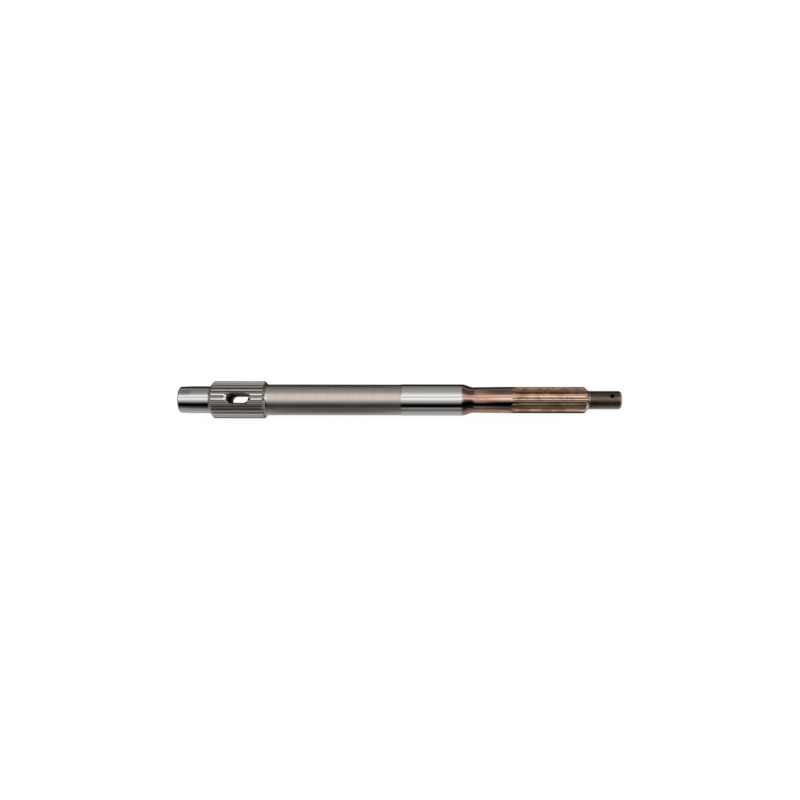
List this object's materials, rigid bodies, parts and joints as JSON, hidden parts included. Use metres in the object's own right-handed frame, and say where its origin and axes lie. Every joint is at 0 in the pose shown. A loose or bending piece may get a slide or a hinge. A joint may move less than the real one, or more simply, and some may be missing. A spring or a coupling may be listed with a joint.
{
  "type": "propeller shaft",
  "caption": "One-piece steel propeller shaft with a toothed clutch collar, cross-pin slot, ground seal journal, tinted neck, propeller spline and threaded end.",
  "frame": {"origin": "on the shaft's axis, at the shoulder where the fore journal meets the clutch collar", "axes": "+X along the shaft towards the propeller end, +Z along the clutch pin slot; the shaft lies on its side"},
  "size_m": [0.4217, 0.0358, 0.0358],
  "materials": {
    "steel": "turned and ground steel, satin on the shank, polished on the journals, heat-tinted copper-brown on the neck and spline, dark on the threaded end"
  },
  "bodies": {
    "root": {"shaft": "steel"}
  },
  "joints": []
}
